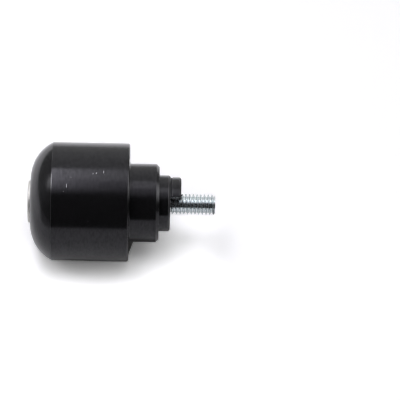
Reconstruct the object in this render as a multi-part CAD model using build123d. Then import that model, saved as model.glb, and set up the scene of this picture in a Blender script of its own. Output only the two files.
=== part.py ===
from build123d import *
import math
import os

# Bar end weight for a handlebar, with the screw that fixes it. Sizes are in millimetres, angles in degrees.
# X runs along the bar: the dome faces -X and the spigot goes into the bar towards +X. Z is up.
# The origin is the centre of the seat, the flat shoulder that meets the end of the bar.

# Body: a straight cylinder that meets its dome at a crisp crease
BODY_DIAMETER = 32.0
BODY_LENGTH = 26.6
BODY_EDGE_BREAK = 0.3
DOME_DEPTH = 5.8
DOME_FLAT_DIAMETER = 12.4

# Spigot that fits the bar, and the smaller step behind it
SPIGOT_DIAMETER = 21.2
SPIGOT_LENGTH = 8.2
SPIGOT_CHAMFER = 0.8
SPIGOT_ROOT_RADIUS = 0.5
STEP_DIAMETER = 15.2
STEP_LENGTH = 2.9
STEP_EDGE_BREAK = 0.3

# Half-moon tongue that keys into the bar's insert, with a relief groove at its root
TONGUE_DIAMETER = 14.2
TONGUE_LENGTH = 2.9
TONGUE_CHAMFER = 0.5
RELIEF_WIDTH = 0.7
RELIEF_DEPTH = 0.25
# The middle of the half ring points this far from +Y towards +Z
TONGUE_DIRECTION = 25.0

# Countersunk socket screw: its length includes the head, whose cone ends in a short upright rim
SCREW_DIAMETER = 6.0
SCREW_LENGTH = 50.5
SCREW_TIP_CHAMFER = 0.7
HEAD_DIAMETER = 11.4
HEAD_RIM_HEIGHT = 1.0
HEAD_EDGE_BREAK = 0.2
HEAD_ANGLE = 90.0
SOCKET_WIDTH = 4.0
SOCKET_DEPTH = 2.5
SOCKET_MOUTH_CHAMFER = 0.2
SOCKET_DRILL_ANGLE = 120.0

# Fit of the screw: it lies loose on the bottom of its bore and has slid out of its countersink
BORE_CLEARANCE = 0.3
REST_GAP = 0.05
SCREW_STANDOFF = 0.7

# Places along the axis and radii that follow from the sizes above
dome_end = -BODY_LENGTH
crease = dome_end + DOME_DEPTH
spigot_end = SPIGOT_LENGTH
step_end = spigot_end + STEP_LENGTH
tongue_end = step_end + TONGUE_LENGTH
body_radius = BODY_DIAMETER / 2
spigot_radius = SPIGOT_DIAMETER / 2
step_radius = STEP_DIAMETER / 2
tongue_radius = TONGUE_DIAMETER / 2
relief_radius = tongue_radius - RELIEF_DEPTH
screw_radius = SCREW_DIAMETER / 2
bore_radius = screw_radius + BORE_CLEARANCE
head_radius = HEAD_DIAMETER / 2
cone_slope = math.tan(math.radians(HEAD_ANGLE / 2))
# The head's cone, carried on to the plane of the head's top, is the countersink's rim
countersink_radius = head_radius + HEAD_RIM_HEIGHT * cone_slope


def turned_blank():
    """The weight's outside, turned from its half section."""
    with BuildPart() as blank:
        with BuildSketch():
            with BuildLine():
                end_flat = Line((dome_end, 0), (dome_end, DOME_FLAT_DIAMETER / 2))
                dome = TangentArc(end_flat @ 1, (crease, body_radius), tangent=end_flat % 1)
                seat = Polyline(
                    dome @ 1,
                    (-BODY_EDGE_BREAK, body_radius),
                    (0, body_radius - BODY_EDGE_BREAK),
                    (0, spigot_radius + SPIGOT_ROOT_RADIUS),
                )
                root = TangentArc(seat @ 1, (SPIGOT_ROOT_RADIUS, spigot_radius), tangent=seat % 1)
                Polyline(
                    root @ 1,
                    (spigot_end - SPIGOT_CHAMFER, spigot_radius),
                    (spigot_end, spigot_radius - SPIGOT_CHAMFER),
                    (spigot_end, step_radius),
                    (step_end - STEP_EDGE_BREAK, step_radius),
                    (step_end, step_radius - STEP_EDGE_BREAK),
                    (step_end, relief_radius),
                    (step_end + RELIEF_WIDTH, relief_radius),
                    (step_end + RELIEF_WIDTH, tongue_radius),
                    (tongue_end - TONGUE_CHAMFER, tongue_radius),
                    (tongue_end, tongue_radius - TONGUE_CHAMFER),
                    (tongue_end, 0),
                    end_flat @ 0,
                )
            make_face()
        revolve(axis=Axis.X)
    return blank.part


def screw_hole():
    """The through bore with its countersink, as a solid to cut away."""
    with BuildPart() as hole:
        with BuildSketch():
            with BuildLine():
                Polyline(
                    (dome_end, 0),
                    (dome_end, countersink_radius),
                    (dome_end + (countersink_radius - bore_radius) / cone_slope, bore_radius),
                    (tongue_end, bore_radius),
                    (tongue_end, 0),
                    close=True,
                )
            make_face()
        revolve(axis=Axis.X)
    return hole.part


def half_moon_cut():
    """The half of the tongue's ring that is milled away, down to the end of the step."""
    half = Box(TONGUE_LENGTH, TONGUE_DIAMETER, TONGUE_DIAMETER, align=(Align.MIN, Align.MAX, Align.CENTER))
    return Pos(X=step_end) * Rot(X=TONGUE_DIRECTION) * half


def hex_socket():
    """The screw's hexagon socket from its top at x = 0, with a chamfered mouth and a drilled bottom."""
    corner_radius = SOCKET_WIDTH / 2 / math.cos(math.pi / 6)
    mouth_radius = corner_radius + SOCKET_MOUTH_CHAMFER
    drill_depth = SOCKET_WIDTH / 2 / math.tan(math.radians(SOCKET_DRILL_ANGLE / 2))
    hexagon = RegularPolygon(SOCKET_WIDTH / 2, 6, major_radius=False)
    with BuildPart() as socket:
        with BuildSketch(Plane.YZ):
            add(hexagon)
        extrude(amount=SOCKET_DEPTH)
        with BuildSketch():
            with BuildLine():
                Polyline((0, 0), (0, mouth_radius), (mouth_radius, 0), close=True)
            make_face()
            with BuildLine():
                Polyline((0, 0), (SOCKET_DEPTH, SOCKET_WIDTH / 2), (SOCKET_DEPTH + drill_depth, 0), close=True)
            make_face()
        revolve(axis=Axis.X)
    return socket.part


def countersunk_screw():
    """The screw from the top of its head at x = 0, turned from its half section. The thread is left plain."""
    with BuildPart() as screw:
        with BuildSketch():
            with BuildLine():
                Polyline(
                    (0, 0),
                    (0, head_radius - HEAD_EDGE_BREAK),
                    (HEAD_EDGE_BREAK, head_radius),
                    (HEAD_RIM_HEIGHT, head_radius),
                    (HEAD_RIM_HEIGHT + (head_radius - screw_radius) / cone_slope, screw_radius),
                    (SCREW_LENGTH - SCREW_TIP_CHAMFER, screw_radius),
                    (SCREW_LENGTH, screw_radius - SCREW_TIP_CHAMFER),
                    (SCREW_LENGTH, 0),
                    close=True,
                )
            make_face()
        revolve(axis=Axis.X)
    return screw.part - hex_socket()


weight = turned_blank() - screw_hole() - half_moon_cut()
screw_drop = BORE_CLEARANCE - REST_GAP
fixing_screw = Pos(X=dome_end - SCREW_STANDOFF, Z=-screw_drop) * countersunk_screw()

os.makedirs("parts", exist_ok=True)
export_step(weight, "parts/weight.step")
export_step(fixing_screw, "parts/fixing_screw.step")
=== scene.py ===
"""Looks of a bar end weight and of the countersunk screw that fixes it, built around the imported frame.

Places and sizes are in metres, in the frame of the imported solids: X runs along the bar, Z is up, and the
origin is the centre of the seat. Angles round the axis are counted from +Y towards +Z.
"""
import logging
import math
from dataclasses import dataclass, field
from enum import Enum
from typing import Any, Sequence

import bpy
import numpy as np
from mathutils import Matrix, Vector


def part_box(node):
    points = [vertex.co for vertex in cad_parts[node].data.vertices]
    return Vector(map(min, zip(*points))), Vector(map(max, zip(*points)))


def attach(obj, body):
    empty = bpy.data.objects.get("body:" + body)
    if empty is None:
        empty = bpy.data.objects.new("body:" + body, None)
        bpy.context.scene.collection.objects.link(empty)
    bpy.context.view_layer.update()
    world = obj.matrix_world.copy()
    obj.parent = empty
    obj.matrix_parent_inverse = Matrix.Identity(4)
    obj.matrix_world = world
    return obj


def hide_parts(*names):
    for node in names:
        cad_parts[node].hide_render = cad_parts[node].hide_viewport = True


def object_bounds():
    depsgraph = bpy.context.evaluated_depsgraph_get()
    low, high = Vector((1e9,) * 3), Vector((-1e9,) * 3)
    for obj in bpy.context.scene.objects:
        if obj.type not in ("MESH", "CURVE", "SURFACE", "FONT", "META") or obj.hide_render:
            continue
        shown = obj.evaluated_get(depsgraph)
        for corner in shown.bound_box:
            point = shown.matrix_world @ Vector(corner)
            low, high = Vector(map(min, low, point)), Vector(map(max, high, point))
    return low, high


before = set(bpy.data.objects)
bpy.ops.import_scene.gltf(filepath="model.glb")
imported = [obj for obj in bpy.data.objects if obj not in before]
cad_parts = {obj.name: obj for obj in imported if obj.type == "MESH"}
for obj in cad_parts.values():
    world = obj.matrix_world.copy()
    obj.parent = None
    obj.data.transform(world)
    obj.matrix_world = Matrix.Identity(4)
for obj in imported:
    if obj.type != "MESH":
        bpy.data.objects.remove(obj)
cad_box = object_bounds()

log = logging.getLogger("bar_end_weight")

Colour = tuple[float, float, float]
Span = tuple[float, float]
Stops = tuple[Span, ...]

MM = 0.001
CARRIER = "root"
IMAGE_SIDE = 400
# Edges that turn by more than this stay crisp; every rounding is cut into smaller turns
CRISP_EDGE = math.radians(35)
ROUNDING_STEP = math.radians(15)
# A point this far past each end of a rounding keeps the side beside it flat
GUARD = 0.02 * MM
# How far the larger face leads where normals are evened; at 50 no face leads
FLAT_WEIGHT = 80
# Numbers kept on the vertices, which the finishes read; the run along the section is in millimetres
LATHE_RUN = "lathe_run"
EDGE_WEAR = "edge_wear"
THREAD_DEPTH = "thread_depth"
FORGED = "forged"


class Maths(Enum):
    """The Math node operations that the finishes use."""

    ADD = "ADD"
    SUBTRACT = "SUBTRACT"
    MULTIPLY = "MULTIPLY"
    DIVIDE = "DIVIDE"
    POWER = "POWER"
    MAXIMUM = "MAXIMUM"
    MINIMUM = "MINIMUM"
    ARCTAN2 = "ARCTAN2"


class Ray(Enum):
    """The kinds of ray that the ground and the room tell apart."""

    CAMERA = "Is Camera Ray"
    GLOSSY = "Is Glossy Ray"
    TRANSMISSION = "Is Transmission Ray"


class Wire:
    """One output socket of a node tree. Arithmetic on it adds Math nodes."""

    def __init__(self, graph: "Graph", socket: bpy.types.NodeSocket) -> None:
        """Keeps the tree and the socket."""
        self.graph = graph
        self.socket = socket

    def __add__(self, other: "Wire | float") -> "Wire":
        """This value plus another."""
        return self.graph.maths(Maths.ADD, self, other)

    __radd__ = __add__

    def __sub__(self, other: "Wire | float") -> "Wire":
        """This value less another."""
        return self.graph.maths(Maths.SUBTRACT, self, other)

    def __rsub__(self, other: float) -> "Wire":
        """A number less this value."""
        return self.graph.maths(Maths.SUBTRACT, other, self)

    def __mul__(self, other: "Wire | float") -> "Wire":
        """This value times another."""
        return self.graph.maths(Maths.MULTIPLY, self, other)

    __rmul__ = __mul__

    def __truediv__(self, other: "Wire | float") -> "Wire":
        """This value over another."""
        return self.graph.maths(Maths.DIVIDE, self, other)

    def __pow__(self, other: float) -> "Wire":
        """This value to a power."""
        return self.graph.maths(Maths.POWER, self, other)

    def toned(self, gain: "Wire | float") -> "Wire":
        """A tone that goes from 1 to a gain while this value goes from 0 to 1."""
        return self * (gain - 1.0) + 1.0


class Graph:
    """A node tree that is written as expressions."""

    def __init__(self, tree: bpy.types.NodeTree) -> None:
        """Empties the tree."""
        self.tree = tree
        tree.nodes.clear()

    def node(
        self,
        kind: str,
        settings: dict[str, Any] | None = None,
        inputs: dict[str | int, Any] | None = None,
        output: str | int = 0,
    ) -> Wire:
        """Adds a node.

        Args:
            kind: The node's type.
            settings: Its own settings, set first. A ramp's stops are (place, grey) pairs under "stops".
            inputs: Values or wires of its sockets, by name or number.
            output: The socket to give back.

        Returns:
            The chosen output, or the first input of a node that has no output.
        """
        made = self.tree.nodes.new(kind)
        for name, value in (settings or {}).items():
            if name == "stops":
                self.set_stops(made.color_ramp.elements, value)
            else:
                setattr(made, name, value)
        for name, value in (inputs or {}).items():
            if isinstance(value, Wire):
                self.tree.links.new(value.socket, made.inputs[name])
            else:
                made.inputs[name].default_value = value
        return Wire(self, made.outputs[output]) if len(made.outputs) else Wire(self, made.inputs[0])

    @staticmethod
    def set_stops(elements: bpy.types.ColorRampElements, stops: Stops) -> None:
        """Sets a ramp's stops.

        Args:
            elements: The ramp's elements, two at first.
            stops: Pairs of place and grey level, in rising order.
        """
        while len(elements) < len(stops):
            elements.new(1.0)
        for element, (place, grey) in zip(elements, stops):
            element.position = place
            element.color = (grey, grey, grey, 1.0)

    def maths(
        self, operation: Maths, first: Wire | float, second: Wire | float, clamp: bool = False
    ) -> Wire:
        """Adds a Math node.

        Args:
            operation: What it does.
            first: Its first value.
            second: Its second value.
            clamp: Whether the result is held between 0 and 1.

        Returns:
            The result.
        """
        settings = {"operation": operation.value, "use_clamp": clamp}
        return self.node("ShaderNodeMath", settings, {0: first, 1: second})

    def blend(self, share: Wire, low: Wire | Colour, high: Wire | Colour) -> Wire:
        """Mixes two colours.

        Args:
            share: How much of the second colour shows.
            low: The colour at 0.
            high: The colour at 1.

        Returns:
            The mixed colour.
        """
        whole = [c if isinstance(c, Wire) else (*c, 1.0) for c in (low, high)]
        inputs = {0: share, 6: whole[0], 7: whole[1]}
        return self.node("ShaderNodeMix", {"data_type": "RGBA"}, inputs, output=2)

    def ramp(self, value: Wire, stops: Stops) -> Wire:
        """Sends a value through a ramp of greys.

        Args:
            value: The value from 0 to 1.
            stops: Pairs of place and grey level.

        Returns:
            The grey.
        """
        return self.node("ShaderNodeValToRGB", {"stops": stops}, {0: value})

    def attribute(self, name: str) -> Wire:
        """A number kept on the mesh's vertices."""
        return self.node("ShaderNodeAttribute", {"attribute_name": name}, output="Fac")

    def axes(self, place: Wire) -> list[Wire]:
        """The X, Y and Z of a vector."""
        split = self.node("ShaderNodeSeparateXYZ", inputs={0: place})
        return [Wire(self, socket) for socket in split.socket.node.outputs]

    def object_place(self) -> Wire:
        """The place on the piece."""
        return self.node("ShaderNodeTexCoord", output="Object")

    def noise(self, place: Wire, scale: float, detail: float = 2.0, line: bool = False) -> Wire:
        """Adds a noise texture.

        Args:
            place: A vector, or a number for noise along a line.
            scale: Patches for each unit of the place.
            detail: How many finer layers are added.
            line: Whether the noise runs along a line.

        Returns:
            The noise, about 0.5 on average.
        """
        settings = {"noise_dimensions": "1D" if line else "3D"}
        inputs = {"W" if line else "Vector": place, "Scale": scale, "Detail": detail}
        return self.node("ShaderNodeTexNoise", settings, inputs)

    def between(self, value: Wire, start: float, end: float, low: float = 0.0, high: float = 1.0) -> Wire:
        """Goes smoothly from one level to another while a value goes from a start to an end.

        Args:
            value: The value.
            start: Where the change starts.
            end: Where it ends, above or below the start.
            low: The level up to the start.
            high: The level from the end on.

        Returns:
            The level.
        """
        inputs = {"Value": value, "From Min": start, "From Max": end, "To Min": low, "To Max": high}
        return self.node("ShaderNodeMapRange", {"interpolation_type": "SMOOTHSTEP"}, inputs)

    def window(self, value: Wire, rise: Span, fall: Span) -> Wire:
        """1 from a smooth rise to a smooth fall of a value, else 0."""
        return self.between(value, *rise) * self.between(value, *fall)

    def ray(self, kind: Ray) -> Wire:
        """1 for one kind of ray, else 0."""
        return self.node("ShaderNodeLightPath", output=kind.value)

    def mirrored_ray(self) -> Wire:
        """1 for a ray off a glossy surface or through a clear one, else 0."""
        return self.maths(Maths.MAXIMUM, self.ray(Ray.GLOSSY), self.ray(Ray.TRANSMISSION))


def new_material(name: str) -> tuple[bpy.types.Material, Graph]:
    """Makes an empty node material.

    Args:
        name: The material's name.

    Returns:
        The material and its node tree.
    """
    material = bpy.data.materials.new(name)
    material.use_nodes = True
    return material, Graph(material.node_tree)


@dataclass(frozen=True)
class Scuff:
    """A nick to bare metal: its middle along and, in degrees, round the body, half sizes and depth."""

    x: float
    angle: float
    half_width: float
    half_length: float
    depth: float


@dataclass(frozen=True)
class BlackAnodise:
    """Black dyed anodising over fine turning marks, satin, with a few nicks down to bright metal."""

    name: str = "black_anodise"
    dye: Colour = (0.0057, 0.0057, 0.0062)
    bare: Colour = (0.50, 0.50, 0.51)
    roughness: float = 0.155
    roughness_spread: float = 0.05
    matte_roughness: float = 0.60
    nick_roughness: float = 0.25
    index: float = 1.43
    sheen_tint: Colour = (0.985, 0.975, 1.05)
    marks_per_mm: float = 3.2
    mark_height: float = 0.0016 * MM
    grain_per_metre: float = 4200.0
    grain_height: float = 0.0016 * MM
    streaks_per_mm: float = 2.4
    streak_ends_per_metre: float = 800.0
    streak_share: float = 0.36
    streak_stops: Stops = ((0.40, 0.0), (0.70, 1.0))
    patches_per_metre: float = 190.0
    wear_stops: Stops = ((0.35, 0.35), (0.70, 1.0))
    body_radius: float = 16.0 * MM
    scuffs: tuple[Scuff, ...] = (
        Scuff(-6.75 * MM, 102.0, 0.06 * MM, 0.66 * MM, 1.0),
        Scuff(-8.7 * MM, 103.5, 0.10 * MM, 0.30 * MM, 0.75),
        Scuff(-9.6 * MM, 104.0, 0.16 * MM, 0.30 * MM, 0.35),
        Scuff(-16.5 * MM, 117.0, 0.09 * MM, 0.75 * MM, 0.75),
        Scuff(-17.3 * MM, 122.5, 0.12 * MM, 0.15 * MM, 0.5),
        Scuff(-15.4 * MM, 108.5, 0.10 * MM, 0.24 * MM, 0.3),
        Scuff(-10.7 * MM, 151.0, 0.12 * MM, 0.15 * MM, 0.15),
        Scuff(-20.6 * MM, 112.0, 0.16 * MM, 3.0 * MM, 0.40),
    )

    def scuff_mask(self, graph: Graph, x: Wire, y: Wire, z: Wire) -> Wire:
        """Adds up the nicks, each an ellipse on the unrolled body that fades from its middle.

        Args:
            graph: The node tree.
            x: Place along the axis.
            y: Place across.
            z: Height.

        Returns:
            How bare the metal is, from 0 to 1.
        """
        angle = graph.maths(Maths.ARCTAN2, z, y)
        total: Wire | float = 0.0
        for scuff in self.scuffs:
            along = (x - scuff.x) / scuff.half_width
            around = (angle - math.radians(scuff.angle)) * (self.body_radius / scuff.half_length)
            spread = along * along + around * around
            total = total + graph.maths(Maths.SUBTRACT, 1.0, spread, clamp=True) * scuff.depth
        return total

    def material(self) -> bpy.types.Material:
        """Dresses the weight.

        Nicks and worn edges show bare metal, thin streaks round the axis dull the gloss, wear below 0
        makes a recess matte, and turning marks and grain are in the bump.

        Returns:
            The finished material.
        """
        made, graph = new_material(self.name)
        place = graph.object_place()
        x, y, z = graph.axes(place)
        run = graph.attribute(LATHE_RUN)
        marks = graph.noise(run, self.marks_per_mm, detail=4.0, line=True)
        grain = graph.noise(place, self.grain_per_metre, detail=3.0)
        patches = graph.noise(place, self.patches_per_metre, detail=4.0)
        ends = self.streak_ends_per_metre
        drawn = {0: run * self.streaks_per_mm, 1: y * ends, 2: z * ends}
        streaks = graph.noise(graph.node("ShaderNodeCombineXYZ", inputs=drawn), 1.0)
        dull = graph.ramp(streaks, self.streak_stops) * self.streak_share
        nicked = self.scuff_mask(graph, x, y, z)
        edge = graph.attribute(EDGE_WEAR)
        worn = edge * graph.ramp(patches, self.wear_stops)
        matte = graph.maths(Maths.SUBTRACT, 0.0, edge, clamp=True)
        metal = graph.maths(Maths.ADD, nicked, worn, clamp=True)
        colour = graph.blend(metal, self.dye, self.bare)
        rough = (marks + patches - 1.0) * self.roughness_spread + self.roughness
        rough = rough + nicked * self.nick_roughness + matte * self.matte_roughness
        height = marks * self.mark_height + grain * self.grain_height
        bump = graph.node("ShaderNodeBump", inputs={"Strength": 1.0, "Distance": 1.0, "Height": height})
        inputs = {
            "Base Color": colour,
            "Roughness": rough,
            "Metallic": graph.maths(Maths.ADD, metal, dull, clamp=True),
            "IOR": self.index,
            "Specular Tint": (*self.sheen_tint, 1.0),
            "Normal": bump,
        }
        shader = graph.node("ShaderNodeBsdfPrincipled", inputs=inputs)
        graph.node("ShaderNodeOutputMaterial", inputs={"Surface": shader})
        return made


@dataclass(frozen=True)
class ZincPlate:
    """Bright bluish zinc plate, painted shade and roughness in the roots, a warmer, rougher forged head."""

    name: str = "zinc_plate"
    bright: Colour = (0.82, 0.87, 0.885)
    forged_bright: Colour = (0.88, 0.865, 0.83)
    # The clouds' dull tone, which is also the tone of the painted shade in the roots, the socket and the
    # cut tip
    dull: Colour = (0.12, 0.13, 0.14)
    metallic: float = 0.975
    roughness: float = 0.16
    roughness_spread: float = 0.10
    forged_roughness: float = 0.40
    cloud_stops: Stops = ((0.35, 0.0), (0.75, 0.10))
    # Painted shade in the thread's roots, with the roots' added roughness below
    root_shade: float = 0.10
    root_roughness: float = 0.024
    cloud_per_metre: float = 900.0
    grain_per_metre: float = 9000.0
    grain_height: float = 0.0012 * MM

    def material(self) -> bpy.types.Material:
        """Dresses the screw, with clouds in the colour and gloss and a fine grain in the bump.

        Returns:
            The finished material.
        """
        made, graph = new_material(self.name)
        place = graph.object_place()
        clouds = graph.noise(place, self.cloud_per_metre, detail=4.0)
        grain = graph.noise(place, self.grain_per_metre)
        depth = graph.attribute(THREAD_DEPTH)
        forged = graph.attribute(FORGED)
        # Painted shade: the depth mark darkens the roots, the socket and the cut tip towards the dull tone
        clouds_and_shade = graph.ramp(clouds, self.cloud_stops) + depth * self.root_shade
        clean = graph.blend(forged, self.bright, self.forged_bright)
        colour = graph.blend(clouds_and_shade, clean, self.dull)
        rough = (clouds - 0.5) * self.roughness_spread + depth * self.root_roughness + self.roughness
        rough = rough + forged * self.forged_roughness
        inputs = {"Strength": 1.0, "Distance": 1.0, "Height": grain * self.grain_height}
        bump = graph.node("ShaderNodeBump", inputs=inputs)
        inputs = {"Base Color": colour, "Roughness": rough, "Metallic": self.metallic, "Normal": bump}
        shader = graph.node("ShaderNodeBsdfPrincipled", inputs=inputs)
        graph.node("ShaderNodeOutputMaterial", inputs={"Surface": shader})
        return made


@dataclass(frozen=True)
class WhiteGround:
    """White paper that catches the shadow.

    The camera sees it lightened by painted light, more where the shadow falls. Reflections see other tones.
    A gain is a share of the paper's own tone, and a span runs from the start of a change to its end.
    """

    name: str = "white_ground"
    paper: float = 0.90
    print_gain: float = 1.31
    # Painted light for the camera: the shadow's zone is lightened by a gain and a glow, less towards the
    # sides, and the left is lifted
    shadow_gain: float = 2.25
    shadow_glow: float = 0.04
    shadow_from: Span = (17 * MM, 4.4 * MM)
    shadow_lean: float = 0.385
    shadow_rest: float = 0.07
    shadow_left: Span = (-16 * MM, -33 * MM)
    shadow_right: Span = (11 * MM, 30 * MM)
    left_painted_light: float = 0.14
    lift_from: Span = (-22 * MM, -29 * MM)
    # Painted light and shade in reflections: brighter far behind and far to the left, painted shadow under
    # the part
    far_light_gain: float = 1.5
    far_back: Span = (15 * MM, 60 * MM)
    far_left: Span = (-80 * MM, -15 * MM)
    corner_gain: float = 0.25
    corner_left: Span = (-68 * MM, -100 * MM)
    corner_front: Span = (-15 * MM, -45 * MM)
    far_left_light_gain: float = 1.50
    left_from: Span = (-55 * MM, -100 * MM)
    right_gain: float = 0.82
    right_from: Span = (14 * MM, 30 * MM)
    under_shade_gain: float = 0.35
    under_front: Span = (-13 * MM, -9 * MM)
    under_back: Span = (30 * MM, 20 * MM)
    under_left: Span = (-22 * MM, -12 * MM)
    under_right: Span = (9.5 * MM, 7.5 * MM)
    # Painted shadow for the camera beside the seat: a soft patch with a dark wedge in it
    seat_shade_gain: float = 0.72
    seat_left: Span = (-3 * MM, -1 * MM)
    seat_right: Span = (8 * MM, 2 * MM)
    seat_front: Span = (-8 * MM, -3 * MM)
    seat_back: Span = (8 * MM, 4 * MM)
    contact_shade_gain: float = 0.12
    contact_front: float = 4.6 * MM
    contact_slope: float = 0.26
    contact_blur: float = 0.2 * MM

    def mirrored_tone(self, graph: Graph, x: Wire, y: Wire) -> Wire:
        """The paper's tone in reflections.

        Painted light makes it brighter behind the part and far to the left, painted shadow makes it darker
        under it, and it is darker in the front left corner and to the right.

        Args:
            graph: The node tree.
            x: Place to the right.
            y: Place to the back.

        Returns:
            The tone as a share of the paper's own.
        """
        # Painted light brightens the paper far behind and far to the left; painted shadow darkens it under
        # the part
        far = graph.between(x, *self.far_left) * graph.between(y, *self.far_back)
        corner = graph.between(x, *self.corner_left) * graph.between(y, *self.corner_front)
        left = graph.between(x, *self.left_from, 1.0, self.far_left_light_gain)
        right = graph.between(x, *self.right_from, 1.0, self.right_gain)
        under = graph.window(y, self.under_front, self.under_back)
        under = under * graph.window(x, self.under_left, self.under_right)
        dark = corner.toned(self.corner_gain) * under.toned(self.under_shade_gain) * right
        return far.toned(self.far_light_gain) * left * dark

    def painted_contact_shadow(self, graph: Graph, x: Wire, y: Wire) -> Wire:
        """The shadow's extra depth on the paper where the seat's rim meets it.

        Painted shadow: a soft patch beside the seat, and in it a dark wedge that grows wider towards the
        back.

        Args:
            graph: The node tree.
            x: Place to the right.
            y: Place to the back.

        Returns:
            The tone as a share of the paper's own.
        """
        patch = graph.window(x, self.seat_left, self.seat_right)
        patch = patch * graph.window(y, self.seat_front, self.seat_back)
        inside = (y + self.contact_front) * self.contact_slope - x
        wedge = graph.between(inside, -self.contact_blur, self.contact_blur) * patch
        return patch.toned(self.seat_shade_gain) * wedge.toned(self.contact_shade_gain)

    def material(self) -> bpy.types.Material:
        """Dresses the ground: painted light and shade for camera and reflections, plain paper for other
        light.

        Returns:
            The finished material.
        """
        made, graph = new_material(self.name)
        x, y, _ = graph.axes(graph.object_place())
        seen = graph.ray(Ray.CAMERA)
        # Painted light: where the shadow falls the camera sees the paper lightened more, less so towards
        # the sides
        lean = graph.maths(Maths.MINIMUM, x, 0.0) * self.shadow_lean
        shadow = graph.between(y - lean, *self.shadow_from)
        shadow = shadow * graph.between(x, *self.shadow_left, 1.0, self.shadow_rest)
        shadow = shadow * graph.between(x, *self.shadow_right, 1.0, self.shadow_rest)
        # Painted light lifts the left side for the camera
        level = graph.between(x, *self.lift_from, 1.0, 1.0 + self.left_painted_light) * self.print_gain
        contact_shadow = self.painted_contact_shadow(graph, x, y)
        painted_tone = (shadow * (self.shadow_gain - self.print_gain) + level) * contact_shadow
        gain = seen.toned(painted_tone) * graph.mirrored_ray().toned(self.mirrored_tone(graph, x, y))
        paper = graph.node("ShaderNodeBsdfDiffuse", inputs={"Color": gain * self.paper})
        # A painted glow where the shadow falls, for the camera only
        strength = seen * shadow * contact_shadow * self.shadow_glow
        glow = graph.node("ShaderNodeEmission", inputs={"Strength": strength})
        both = graph.node("ShaderNodeAddShader", inputs={0: paper, 1: glow})
        graph.node("ShaderNodeOutputMaterial", inputs={"Surface": both})
        return made


def rounded_corner(
    before: np.ndarray, corner: np.ndarray, after: np.ndarray, rounding: float
) -> np.ndarray:
    """Rounds a corner of a half section with an arc that touches both of its sides.

    The arc's centre lies on the corner's bisector, rounding / sin(half the inner angle) from the corner,
    and its angle runs evenly from one touching point to the other.

    Args:
        before: The point before the corner.
        corner: The corner.
        after: The point after the corner.
        rounding: The arc's radius.

    Returns:
        The arc's points between the two on its sides, or the corner itself where it isn't rounded.
    """
    if rounding <= 0:
        return corner[None, :]
    to_before = (before - corner) / np.linalg.norm(before - corner)
    to_after = (after - corner) / np.linalg.norm(after - corner)
    half = 0.5 * math.acos(np.clip(to_before @ to_after, -1.0, 1.0))
    bisector = (to_before + to_after) / np.linalg.norm(to_before + to_after)
    centre = corner + bisector * rounding / math.sin(half)
    reach = rounding / math.tan(half)
    first = corner + to_before * reach - centre
    last = corner + to_after * reach - centre
    start = math.atan2(first[1], first[0])
    sweep = math.remainder(math.atan2(last[1], last[0]) - start, 2 * math.pi)
    count = max(3, math.ceil(abs(sweep) / ROUNDING_STEP) + 1)
    turn = start + sweep * np.linspace(0.0, 1.0, count)
    arc = centre + rounding * np.stack([np.cos(turn), np.sin(turn)], axis=1)
    guard = reach + GUARD
    return np.concatenate([[corner + to_before * guard], arc, [corner + to_after * guard]])


@dataclass(frozen=True)
class Corner:
    """A corner of a half section: place along and off the axis, rounding, and wear, below 0 where matte."""

    x: float
    radius: float
    rounding: float = 0.0
    wear: float = 0.0


@dataclass(frozen=True)
class HalfSection:
    """A turned half section: points (x, radius), with the material on the right of the way, and wear."""

    points: np.ndarray
    wear: np.ndarray

    @classmethod
    def through(cls, corners: Sequence[Corner]) -> "HalfSection":
        """Runs through corners and rounds them.

        Args:
            corners: The corners. The first and last aren't rounded.

        Returns:
            The half section. A corner's wear is full in the middle of its rounding and nothing at its
            ends, or full at a corner without rounding.
        """
        places = np.array([(corner.x, corner.radius) for corner in corners])
        points, wear = [places[:1]], [np.zeros(1)]
        for before, place, after, corner in zip(places[:-2], places[1:-1], places[2:], corners[1:-1]):
            arc = rounded_corner(before, place, after, corner.rounding)
            points.append(arc)
            swell = np.sin(np.linspace(0.0, math.pi, len(arc))) if corner.rounding > 0 else np.ones(1)
            wear.append(corner.wear * swell)
        return cls(np.concatenate([*points, places[-1:]]), np.concatenate([*wear, np.zeros(1)]))

    def split(self, longest: float) -> "HalfSection":
        """Divides long sides evenly.

        Args:
            longest: The longest side that stays whole.

        Returns:
            The half section with more points on its long sides.
        """
        sides = np.linalg.norm(np.diff(self.points, axis=0), axis=1)
        parts = np.maximum(1, np.ceil(sides / longest)).astype(int)
        side = np.repeat(np.arange(len(sides)), parts)
        share = (np.arange(len(side)) - np.repeat(np.cumsum(parts) - parts, parts)) / parts[side]
        points = self.points[side] + share[:, None] * np.diff(self.points, axis=0)[side]
        wear = self.wear[side] + share * np.diff(self.wear)[side]
        points = np.concatenate([points, self.points[-1:]])
        return HalfSection(points, np.concatenate([wear, self.wear[-1:]]))

    def run(self) -> np.ndarray:
        """The way along the section at each point, in metres."""
        return np.concatenate([[0.0], np.cumsum(np.linalg.norm(np.diff(self.points, axis=0), axis=1))])

    def inset(self, depth: float) -> np.ndarray:
        """The points moved into the material.

        Args:
            depth: How far each side moves. A corner moves along the bisector of its two sides.

        Returns:
            The moved points.
        """
        way = np.diff(self.points, axis=0)
        normal = np.stack([-way[:, 1], way[:, 0]], axis=1) / np.linalg.norm(way, axis=1)[:, None]
        before = np.concatenate([normal[:1], normal])
        after = np.concatenate([normal, normal[-1:]])
        both = before + after
        return self.points - depth * 2 * both / (both * both).sum(axis=1)[:, None]


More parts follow.
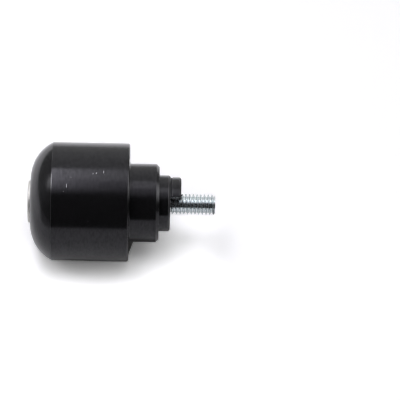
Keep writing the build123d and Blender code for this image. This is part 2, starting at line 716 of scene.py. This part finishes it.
def carried_round(points: np.ndarray, angles: np.ndarray) -> np.ndarray:
    """Carries a half section round the X axis: (x, r) at angle a becomes (x, r cos a, r sin a).

    Args:
        points: The half section, one row for each point.
        angles: Angles from +Y towards +Z.

    Returns:
        Places, by point and angle.
    """
    x = np.repeat(points[:, :1], len(angles), axis=1)
    y = np.outer(points[:, 1], np.cos(angles))
    z = np.outer(points[:, 1], np.sin(angles))
    return np.stack([x, y, z], axis=-1)


def grid_faces(index: np.ndarray) -> list[list[int]]:
    """Faces between the neighbouring rows and columns of a grid of vertex numbers.

    A side whose two ends are the same vertex is dropped, so a face there is a triangle or nothing.

    Args:
        index: Vertex numbers by row and column, rows along the section and columns round the axis.

    Returns:
        The faces, which point outwards.
    """
    corners = (index[:-1, :-1], index[:-1, 1:], index[1:, 1:], index[1:, :-1])
    quads = np.stack(corners, axis=-1).reshape(-1, 4)
    gone = quads == np.roll(quads, -1, axis=1)
    faces = quads[~gone.any(axis=1)].tolist()
    for side in range(4):
        kept = [corner for corner in range(4) if corner != side]
        faces += quads[gone[:, side] & (gone.sum(axis=1) == 1)][:, kept].tolist()
    return faces


def closed(index: np.ndarray) -> np.ndarray:
    """A grid of vertex numbers with its first column repeated at the end."""
    return np.concatenate([index, index[:, :1]], axis=1)


def placed(name: str, data: bpy.types.ID) -> bpy.types.Object:
    """Makes an object and links it to the scene.

    Args:
        name: Its name.
        data: Its mesh, lamp or camera.

    Returns:
        The object, at the origin.
    """
    made = bpy.data.objects.new(name, data)
    bpy.context.scene.collection.objects.link(made)
    return made


@dataclass
class Surface:
    """A closed surface: places, faces and the numbers that its finish reads from its vertices."""

    places: np.ndarray
    faces: list[list[int]]
    marks: dict[str, np.ndarray]

    def piece(self, name: str, node: str, slot: str, material: bpy.types.Material) -> bpy.types.Object:
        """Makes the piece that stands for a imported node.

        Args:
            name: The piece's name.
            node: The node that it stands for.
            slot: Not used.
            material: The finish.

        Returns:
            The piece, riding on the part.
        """
        mesh = bpy.data.meshes.new(name)
        mesh.from_pydata(self.places, [], self.faces)
        for mark, values in self.marks.items():
            mesh.attributes.new(mark, "FLOAT", "POINT").data.foreach_set("value", values.astype(np.float32))
        mesh.shade_smooth()
        mesh.set_sharp_from_angle(angle=CRISP_EDGE)
        mesh.materials.append(material)
        made = placed(name, mesh)
        evened = made.modifiers.new("even_flats", "WEIGHTED_NORMAL")
        evened.keep_sharp = True
        evened.weight = FLAT_WEIGHT
        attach(made, CARRIER)
        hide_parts(node)
        log.info("%s: %d places, %d faces, stands for %s", name, len(self.places), len(self.faces), node)
        return made


@dataclass
class TurnedWeight:
    """The weight, turned from one bar: domed body, seat, spigot, step, half-moon tongue and screw hole."""

    body_length: float = 26.6 * MM
    dome_depth: float = 6.0 * MM
    dome_flat_radius: float = 6.5 * MM
    crease_rounding: float = 0.16 * MM
    crease_wear: float = 0.14
    edge_rounding: float = 0.07 * MM
    edge_wear: float = 0.06
    body_edge: float = 0.30 * MM
    spigot_radius: float = 10.6 * MM
    spigot_length: float = 8.1 * MM
    spigot_edge: float = 0.80 * MM
    root_rounding: float = 0.5 * MM
    step_radius: float = 7.6 * MM
    step_length: float = 3.0 * MM
    step_edge: float = 0.48 * MM
    step_wear: float = 0.90
    tongue_radius: float = 7.1 * MM
    tongue_edge: float = 0.50 * MM
    tongue_direction: float = math.radians(27.5)
    relief_width: float = 0.5 * MM
    relief_depth: float = 0.16 * MM
    recess_matte: float = 0.8
    chamfer_matte: Span = (0.7, 0.3)
    groove_matte: Span = (0.1, 0.8)
    relief_rounding: float = 0.06 * MM
    lip_rounding: float = 0.07 * MM
    lip_wear: float = 0.75
    bore_radius: float = 3.3 * MM
    bore_edge: float = 0.25 * MM
    countersink_radius: float = 6.7 * MM
    countersink_edge: float = 0.12 * MM
    cut_edge: float = 0.06 * MM
    longest_side: float = 1.0 * MM
    dome_points: int = 40
    columns: int = 360
    finish: BlackAnodise = field(default_factory=BlackAnodise)

    def __post_init__(self) -> None:
        """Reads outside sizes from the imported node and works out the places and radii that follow."""
        low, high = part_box("weight")
        self.body_radius = (high.z - low.z) / 2
        self.tongue_end = high.x
        self.step_end = self.spigot_length + self.step_length
        self.relief_radius = self.tongue_radius - self.relief_depth

    def dome(self) -> np.ndarray:
        """The dome's line from the countersink's rim to the crease.

        It is an arc that leaves the end's plane at right angles to the axis. With depth d and height h
        between the flat and the body, its radius is (d d + h h) / 2 d.

        Returns:
            Points (x, radius).
        """
        height = self.body_radius - self.dome_flat_radius
        radius = (self.dome_depth**2 + height**2) / (2 * self.dome_depth)
        first = math.asin((self.countersink_radius - self.dome_flat_radius) / radius)
        last = math.asin(height / radius)
        turn = np.linspace(first, last, self.dome_points)
        x = -self.body_length + radius * (1 - np.cos(turn))
        return np.stack([x, self.dome_flat_radius + radius * np.sin(turn)], axis=1)

    def chamfer(
        self, x: float, radius: float, width: float, wear: float, matte: float = 0.0
    ) -> list[Corner]:
        """The corners of a 45 degree chamfer on an outer edge that faces +X.

        Args:
            x: Where the edge's end face lies.
            radius: The radius beside the edge.
            width: The chamfer's width along the axis.
            wear: How worn its edges are.
            matte: How matte the chamfer between them is.

        Returns:
            The corners, in order.
        """
        shares = (1.0, *self.chamfer_matte, 0.0)
        roundings = (self.edge_rounding, 0.0, 0.0, self.edge_rounding)
        wears = (wear, -matte, -matte, wear)
        corners = zip(shares, roundings, wears)
        return [Corner(x - width * s, radius - width * (1 - s), r, w) for s, r, w in corners]

    def outside(self) -> HalfSection:
        """The half section that goes all the way round: bore, dome, body, spigot and step.

        Returns:
            The half section, from the bore to the relief groove, both at the step's end.
        """
        matte = self.recess_matte
        dome = self.dome()
        rim_x, rim_r = dome[0]
        cone_end = rim_x + rim_r - self.bore_radius
        corners = [
            Corner(self.step_end, self.bore_radius),
            Corner(cone_end, self.bore_radius, self.bore_edge),
            Corner(rim_x, rim_r, self.countersink_edge, self.edge_wear),
            *(Corner(*place) for place in dome[1:-1]),
            Corner(*dome[-1], self.crease_rounding, self.crease_wear),
            *self.chamfer(0.0, self.body_radius, self.body_edge, self.edge_wear),
            Corner(0.0, self.spigot_radius, self.root_rounding),
            *self.chamfer(self.spigot_length, self.spigot_radius, self.spigot_edge, self.edge_wear),
            Corner(self.spigot_length, self.step_radius, self.relief_rounding),
            *self.chamfer(self.step_end, self.step_radius, self.step_edge, self.step_wear, matte),
            Corner(self.step_end, self.relief_radius),
        ]
        return HalfSection.through(corners).split(self.longest_side)

    def tongue(self) -> HalfSection:
        """The half section of the tongue: relief groove, outside, end and bore.

        Returns:
            The half section, from the relief groove to the bore, both at the step's end.
        """
        matte = self.recess_matte
        groove_end = self.step_end + self.relief_width
        floor = [self.step_end + share * self.relief_width for share in self.groove_matte]
        corners = [
            Corner(self.step_end, self.relief_radius),
            *(Corner(x, self.relief_radius, wear=-matte) for x in floor),
            Corner(groove_end, self.relief_radius, self.relief_rounding / 2),
            Corner(groove_end, self.tongue_radius, self.lip_rounding, self.lip_wear),
            *self.chamfer(self.tongue_end, self.tongue_radius, self.tongue_edge, self.edge_wear, matte),
            Corner(self.tongue_end, self.bore_radius, self.bore_edge),
            Corner(self.step_end, self.bore_radius),
        ]
        return HalfSection.through(corners).split(self.longest_side / 2)

    def surface(self) -> Surface:
        """The closed surface.

        The outside section goes round all columns, and the tongue's round half of them. The columns at the
        tongue's two milled faces carry its section moved inwards, which breaks the edges of those faces.
        The other half of the step's end is a flat grid from the groove's radius to the bore's.

        Returns:
            The surface, with the way along the section and the edge wear as marks.
        """
        half = self.columns // 2
        angles = self.tongue_direction - math.pi / 2 + np.arange(self.columns) * 2 * math.pi / self.columns
        outside, tongue = self.outside(), self.tongue()
        inset = tongue.inset(self.cut_edge)
        end_rows = np.array([inset[0], inset[-1]])
        blocks = [
            carried_round(outside.points, angles),
            carried_round(tongue.points[1:-1], angles[1:half]),
            carried_round(inset, angles[[0, half]]),
            carried_round(end_rows, angles[half + 1 :]),
        ]
        sizes = [block[..., 0].size for block in blocks]
        numbers = np.split(np.arange(sum(sizes)), np.cumsum(sizes)[:-1])
        grids = [grid.reshape(block.shape[:2]) for grid, block in zip(numbers, blocks)]
        body, ring, cuts, flat = grids
        ring = np.concatenate([body[-1:, 1:half], ring, body[:1, 1:half]])
        ring = np.concatenate([cuts[:, :1], ring, cuts[:, 1:]], axis=1)
        flat = np.concatenate([cuts[[0, -1], 1:], flat, cuts[[0, -1], :1]], axis=1)
        wrapped = np.concatenate([body[:, half:], body[:, :1]], axis=1)
        flat = np.concatenate([wrapped[-1:], flat, wrapped[:1]])
        faces = grid_faces(closed(body)) + grid_faces(ring) + grid_faces(flat)
        faces += [
            [body[-1, 0], body[-1, 1], cuts[0, 0]],
            [body[-1, half - 1], body[-1, half], cuts[0, 1]],
            [body[0, 1], body[0, 0], cuts[-1, 0]],
            [body[0, half], body[0, half - 1], cuts[-1, 1]],
            cuts[:, 0].tolist(),
            cuts[::-1, 1].tolist(),
        ]
        runs = [outside.run(), tongue.run()[1:-1], tongue.run(), end_rows[:, 1]]
        wears = [outside.wear, tongue.wear[1:-1], tongue.wear, np.zeros(2)]
        marks = {
            LATHE_RUN: np.concatenate([np.repeat(r, b.shape[1]) for r, b in zip(runs, blocks)]) / MM,
            EDGE_WEAR: np.concatenate([np.repeat(w, b.shape[1]) for w, b in zip(wears, blocks)]),
        }
        return Surface(np.concatenate([block.reshape(-1, 3) for block in blocks]), faces, marks)

    def build(self) -> bpy.types.Object:
        """Makes and dresses the weight."""
        return self.surface().piece("turned_weight", "weight", "black_anodised", self.finish.material())


@dataclass
class SocketScrew:
    """The countersunk screw: hexagon socket, cone with an upright rim, plain shank, right-hand thread."""

    head_radius: float = 5.7 * MM
    rim_height: float = 1.0 * MM
    head_edge: float = 0.35 * MM
    shank_radius: float = 2.98 * MM
    under_head: float = 0.25 * MM
    socket_half_width: float = 2.0 * MM
    socket_depth: float = 2.5 * MM
    socket_mouth: float = 0.2 * MM
    drill_share: float = 0.97
    drill_half_angle: float = math.radians(60)
    # Painted shade inside the socket, given to the finish as a depth
    socket_shade: float = 3.9
    thread_length: float = 24.0 * MM
    pitch: float = 1.0 * MM
    crest_radius: float = 2.98 * MM
    root_radius: float = 2.20 * MM
    crest_share: float = 0.0625
    root_share: float = 0.14
    run_out: float = 1.5 * MM
    spare_turns: int = 3
    tip_radius: float = 2.30 * MM
    tip_edge: float = 0.12 * MM
    # Painted shade on the cut tip, given to the finish as a depth
    tip_shade: float = 12.5
    columns: int = 96
    rows_per_turn: int = 16
    longest_side: float = 1.0 * MM
    finish: ZincPlate = field(default_factory=ZincPlate)

    def __post_init__(self) -> None:
        """Reads the screw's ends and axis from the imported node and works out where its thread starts."""
        low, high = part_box("fixing_screw")
        self.top, self.tip = low.x, high.x
        self.axis_z = (low.z + high.z) / 2
        self.thread_start = self.tip - self.thread_length

    def socket_rows(self, angles: np.ndarray) -> tuple[np.ndarray, np.ndarray]:
        """The socket from its drilled bottom to its mouth.

        The wall's radius at an angle is the half width over the cosine of the angle from the nearest flat's
        middle. The mouth's 45 degree cone meets it as far below the top as it lies inside the mouth.

        Args:
            angles: The columns' angles.

        Returns:
            The x and the radius of each row at each angle. The first row is the bottom's centre.
        """
        sixth = math.pi / 3
        wall = self.socket_half_width / np.cos(np.mod(angles, sixth) - sixth / 2)
        mouth = wall.max() + self.socket_mouth
        bottom = self.top + self.socket_depth
        drill = self.drill_share * self.socket_half_width
        level = np.ones_like(angles)
        rows = [
            (level * (bottom + drill / math.tan(self.drill_half_angle)), level * 0.0),
            (level * bottom, level * drill),
            (level * bottom, wall),
            (level * (bottom + self.top) / 2, wall),
            (self.top + mouth - wall, wall),
            (level * self.top, level * mouth),
        ]
        return np.array([row[0] for row in rows]), np.array([row[1] for row in rows])

    def head_section(self, mouth: float) -> HalfSection:
        """The half section from the socket's mouth over the head to the start of the thread.

        Args:
            mouth: The radius of the socket's mouth.

        Returns:
            The half section.
        """
        cone_end = self.top + self.rim_height + self.head_radius - self.shank_radius
        corners = [
            Corner(self.top, mouth),
            Corner(self.top, self.head_radius, self.head_edge),
            Corner(self.top + self.rim_height, self.head_radius, self.head_edge / 2),
            Corner(cone_end, self.shank_radius, self.under_head),
            Corner(self.thread_start, self.shank_radius),
        ]
        return HalfSection.through(corners).split(self.longest_side)

    def thread_radius(self, phase: np.ndarray, x: np.ndarray) -> tuple[np.ndarray, np.ndarray]:
        """The thread's radius.

        Across half a turn it falls from a narrow flat crest down a straight flank to a wider flat root.
        Near the shank its depth fades in over the run-out, and at the tip a 45 degree cone cuts it.

        Args:
            phase: Share of a turn from the crest's middle.
            x: Place along the axis, of the same shape.

        Returns:
            The radius, and how deep in the thread each place lies, from 0 to 1. The cut tip counts as
            deeper, so that painted shade darkens it.
        """
        off_crest = np.abs(np.mod(phase + 0.5, 1.0) - 0.5)
        flank = 0.5 - self.crest_share - self.root_share
        down = np.clip((off_crest - self.crest_share) / flank, 0.0, 1.0)
        full = self.crest_radius - (self.crest_radius - self.root_radius) * down
        grown = np.clip((x - self.thread_start) / self.run_out, 0.0, 1.0)
        grown = grown * grown * (3 - 2 * grown)
        cut = self.shank_radius + (full - self.shank_radius) * grown
        cone = self.tip_radius + (self.tip - x)
        depth = grown * (self.crest_radius - full) / (self.crest_radius - self.root_radius)
        return np.minimum(cut, cone), np.where(cone < cut, self.tip_shade, depth)

    def surface(self) -> Surface:
        """The closed surface.

        The thread's rows climb with the helix, one pitch a turn, so the last column meets the first one
        turn higher. Places that would pass the thread's start or the tip are held at the ring there.

        Returns:
            The surface, with the depth in the thread and the forged head as marks.
        """
        turn = np.arange(self.columns) / self.columns
        angles = turn * 2 * math.pi
        socket_x, socket_r = self.socket_rows(angles)
        head = self.head_section(float(socket_r[-1, 0]))
        head_x = np.repeat(head.points[1:, :1], self.columns, axis=1)
        head_r = np.repeat(head.points[1:, 1:], self.columns, axis=1)
        ring_x = np.concatenate([socket_x[1:], head_x])
        ring_r = np.concatenate([socket_r[1:], head_r])

        turns = math.ceil(self.thread_length / self.pitch) + self.spare_turns
        step = np.arange(turns * self.rows_per_turn)[:, None] / self.rows_per_turn
        climb = self.thread_start + self.pitch * (step - 1 + turn[None, :])
        thread_x = np.clip(climb, self.thread_start, self.tip)
        thread_r, depth = self.thread_radius(np.repeat(step, self.columns, axis=1), thread_x)
        free = (climb > self.thread_start) & (climb < self.tip)

        end = np.array([(self.tip, self.tip_radius), (self.tip, self.tip_radius - self.tip_edge)])
        end_x, end_r = (np.repeat(column[:, None], self.columns, axis=1) for column in end.T)

        thread_at = 1 + ring_x.size
        ends_at = thread_at + free.sum()
        rings = np.arange(1, thread_at).reshape(ring_x.shape)
        ends = ends_at + np.arange(end_x.size).reshape(end_x.shape)
        thread = np.where(climb >= self.tip, ends[0][None, :], rings[-1][None, :])
        thread[free] = np.arange(thread_at, ends_at)
        last = ends[-1, -1] + 1

        top_pole = np.zeros((1, self.columns), int)
        tip_pole = np.full((1, self.columns), last)
        turned = thread[self.rows_per_turn :, :1]
        helix = np.concatenate([thread[: -self.rows_per_turn], turned], axis=1)
        faces = grid_faces(closed(np.concatenate([top_pole, rings]))) + grid_faces(helix)
        faces += grid_faces(closed(np.concatenate([ends, tip_pole])))

        columns = np.repeat(angles[None, :], len(thread_x), axis=0)
        x = np.concatenate([socket_x[0, :1], ring_x.ravel(), thread_x[free], end_x.ravel(), [self.tip]])
        r = np.concatenate([[0.0], ring_r.ravel(), thread_r[free], end_r.ravel(), [0.0]])
        around = [np.tile(angles, len(ring_x)), columns[free], np.tile(angles, len(end))]
        a = np.concatenate([[0.0], *around, [0.0]])
        places = np.stack([x, r * np.cos(a), self.axis_z + r * np.sin(a)], axis=1)
        depths = np.zeros(len(places))
        depths[thread_at:ends_at] = depth[free]
        # The socket's bottom point and all its rings except the mouth get painted shade
        depths[: 1 + (len(socket_x) - 2) * self.columns] = self.socket_shade
        forged = np.where(np.arange(len(places)) < thread_at, 1.0, 0.0)
        return Surface(places, faces, {THREAD_DEPTH: depths, FORGED: forged})

    def build(self) -> bpy.types.Object:
        """Makes and dresses the screw."""
        return self.surface().piece("socket_screw", "fixing_screw", "zinc_plate", self.finish.material())


def area_lamp(
    name: str, width: float, depth: float, brightness: float = 1.0
) -> tuple[bpy.types.Object, Graph]:
    """Makes a rectangular lamp.

    Its energy is pi times its area times its brightness, so its radiance is the brightness where its nodes
    give 1.

    Args:
        name: The lamp's name.
        width: Its width.
        depth: Its other size.
        brightness: Its radiance.

    Returns:
        The lamp, facing down, and its node tree.
    """
    lamp = bpy.data.lights.new(name, "AREA")
    lamp.shape = "RECTANGLE"
    lamp.size, lamp.size_y = width, depth
    lamp.energy = brightness * math.pi * width * depth
    lamp.use_nodes = True
    log.info("%s: %.2f by %.2f m", name, width, depth)
    return placed(name, lamp), Graph(lamp.node_tree)


@dataclass(frozen=True)
class SoftLamp:
    """A lamp that is aimed at the part and fades from its middle to its rim."""

    name: str
    middle: tuple[float, float, float]
    width: float
    height: float
    brightness: float
    mirrored: bool = True
    fade_share: float = 0.6

    def build(self) -> None:
        """Stands the lamp. Its strength fades from its middle to nothing at a share of its width."""
        stood, graph = area_lamp(self.name, self.width, self.height, self.brightness)
        inputs = {0: graph.node("ShaderNodeNewGeometry", output="Position"), 1: self.middle}
        off = graph.node("ShaderNodeVectorMath", {"operation": "DISTANCE"}, inputs, "Value")
        strength = graph.between(off, self.width * self.fade_share, 0.0)
        shine = graph.node("ShaderNodeEmission", inputs={"Strength": strength})
        graph.node("ShaderNodeOutputLight", inputs={"Surface": shine})
        stood.location = self.middle
        stood.rotation_mode = "QUATERNION"
        stood.rotation_quaternion = (-stood.location).to_track_quat("-Z", "Y")
        stood.visible_glossy = self.mirrored


@dataclass(frozen=True)
class OverheadLamp:
    """The broad lamp over the part, with a hot spot, a long fade to its front and a short one behind."""

    name: str = "overhead_lamp"
    tint: Colour = (1.0, 0.985, 1.06)
    height: float = 0.45
    left: float = -0.50
    right: float = 0.45
    front: float = -0.30
    back: float = 0.215
    back_fade: float = 0.175
    full_from: float = -0.02
    faded_by: float = -0.26
    brightness: float = 0.64
    hot_brightness: float = 5.2
    hot_right: Span = (-0.02, -0.065)
    hot_left: Span = (-0.20, -0.11)

    def build(self) -> None:
        """Hangs the lamp level. Its strength is its two fades times the level with its hot spot."""
        hung, graph = area_lamp(self.name, self.right - self.left, self.back - self.front)
        x, y, _ = graph.axes(graph.node("ShaderNodeNewGeometry", output="Position"))
        fade = graph.window(y, (self.faded_by, self.full_from), (self.back, self.back_fade))
        hot = graph.window(x, self.hot_right, self.hot_left)
        strength = fade * (hot * self.hot_brightness + self.brightness)
        shine = graph.node("ShaderNodeEmission", inputs={"Color": (*self.tint, 1.0), "Strength": strength})
        graph.node("ShaderNodeOutputLight", inputs={"Surface": shine})
        hung.location = ((self.left + self.right) / 2, (self.front + self.back) / 2, self.height)


@dataclass
class Studio:
    """A white board under lamps, in a white room that darkens towards the camera and to the right.

    The room's spans are of the X, Y or Z of a direction of length 1.
    """

    board_left: float = -0.50
    board_right: float = 0.12
    board_front: float = -0.30
    board_back: float = 1.50
    ambient: float = 0.30
    room_tones: Stops = (
        (0.0, 0.02),
        (0.28, 0.15),
        (0.37, 0.25),
        (0.46, 0.36),
        (0.62, 0.65),
        (0.80, 0.50),
        (0.90, 0.45),
        (1.0, 1.0),
    )
    right_from: Span = (0.1, 0.6)
    right_back: Span = (0.4, 0.65)
    right_share: float = 0.15
    wall_height: Span = (0.2, 0.42)
    wall_back: Span = (-0.1, 0.3)
    right_wall_share: float = 2.6
    horizon: Span = (0.05, 0.6)
    horizon_tone: float = 0.66
    wall_tone: float = 0.90
    lamps: tuple[OverheadLamp | SoftLamp, ...] = (
        OverheadLamp(),
        SoftLamp("left_lamp", (-0.65, 0.07, 0.49), 0.40, 0.40, 2.3),
        SoftLamp("right_lamp", (0.75, 0.22, 0.10), 0.50, 0.30, 3.0),
        SoftLamp("ground_lamp", (-0.10, -0.37, 1.14), 1.30, 1.30, 1.4, mirrored=False),
    )

    def ground(self) -> None:
        """Lays a flat sheet under the part, at the lowest point of its box."""
        x, y = np.meshgrid([self.board_left, self.board_right], [self.board_front, self.board_back])
        places = np.stack([x, y, np.full_like(x, cad_box[0].z)], axis=-1)
        mesh = bpy.data.meshes.new("ground")
        mesh.from_pydata(places.reshape(-1, 3), [], grid_faces(np.arange(x.size).reshape(x.shape)))
        mesh.materials.append(WhiteGround().material())
        made = placed("ground", mesh)

    def sky(self) -> None:
        """White all round for the picture, the room in reflections, and an even fill light for the rest.

        The room's tone goes by the direction's Y over its level length, from the camera's side to the
        far wall. It is lower on the right, except high up at the back, and a little lower near the horizon.
        """
        world = bpy.data.worlds.new("white_room")
        world.use_nodes = True
        graph = Graph(world.node_tree)
        x, y, z = graph.axes(graph.node("ShaderNodeTexCoord", output="Generated"))
        room = graph.ramp(y / ((x * x + y * y) ** 0.5) * 0.5 + 0.5, self.room_tones)
        wall = graph.between(z, *self.wall_height) * graph.between(y, *self.wall_back)
        share = graph.between(y, *self.right_back, self.right_share, 1.0)
        share = share + wall * (self.right_wall_share - share)
        room = room * graph.between(x, *self.right_from).toned(share)
        room = room * graph.between(z, *self.horizon, self.horizon_tone, self.wall_tone)
        mirrored = graph.mirrored_ray()
        seen = graph.ray(Ray.CAMERA)
        fill = (1 - mirrored) * (1 - seen) * self.ambient
        inputs = {"Color": (1.0, 1.0, 1.0, 1.0), "Strength": seen + mirrored * room + fill}
        back = graph.node("ShaderNodeBackground", inputs=inputs)
        graph.node("ShaderNodeOutputWorld", inputs={"Surface": back})
        bpy.context.scene.world = world

    def build(self) -> None:
        """Sets the stage and the light."""
        self.ground()
        self.sky()
        for lamp in self.lamps:
            lamp.build()
        bpy.context.scene.view_settings.view_transform = "Standard"


@dataclass(frozen=True)
class PhotoCamera:
    """The photograph's view, by the place of the seat's centre in it and how the bar lies to the camera."""

    seat_column: float = 129.2
    seat_row: float = 202.58
    pixels_per_metre: float = 3700.0
    focal_pixels: float = 2800.0
    elevation: float = math.radians(48.0)
    azimuth: float = math.radians(-1.2)
    roll: float = math.radians(2.03)
    sensor: float = 36.0

    def build(self) -> None:
        """Places the camera so that the origin, the seat's centre, falls on its pixel at its scale."""
        turn, lift = self.azimuth, self.elevation
        back = Vector((math.sin(turn) * math.cos(lift), -math.cos(turn) * math.cos(lift), math.sin(lift)))
        level = Vector((math.cos(turn), math.sin(turn), 0.0))
        upright = back.cross(level)
        right = level * math.cos(self.roll) + upright * math.sin(self.roll)
        up = upright * math.cos(self.roll) - level * math.sin(self.roll)
        across = (self.seat_column - IMAGE_SIDE / 2) / self.pixels_per_metre
        above = (IMAGE_SIDE / 2 - self.seat_row) / self.pixels_per_metre
        away = self.focal_pixels / self.pixels_per_metre
        data = bpy.data.cameras.new("photo_camera")
        data.sensor_width = self.sensor
        data.lens = self.focal_pixels * self.sensor / IMAGE_SIDE
        camera = placed("photo_camera", data)
        camera.rotation_mode = "QUATERNION"
        camera.rotation_quaternion = Matrix((right, up, back)).transposed().to_quaternion()
        camera.location = back * away - right * across - up * above
        bpy.context.scene.camera = camera


def main() -> None:
    """Builds the pieces, the stage and the camera in order."""
    logging.basicConfig(level=logging.INFO, format="%(name)s: %(message)s")
    TurnedWeight().build()
    SocketScrew().build()
    Studio().build()
    PhotoCamera().build()


if __name__ == "__main__":
    main()
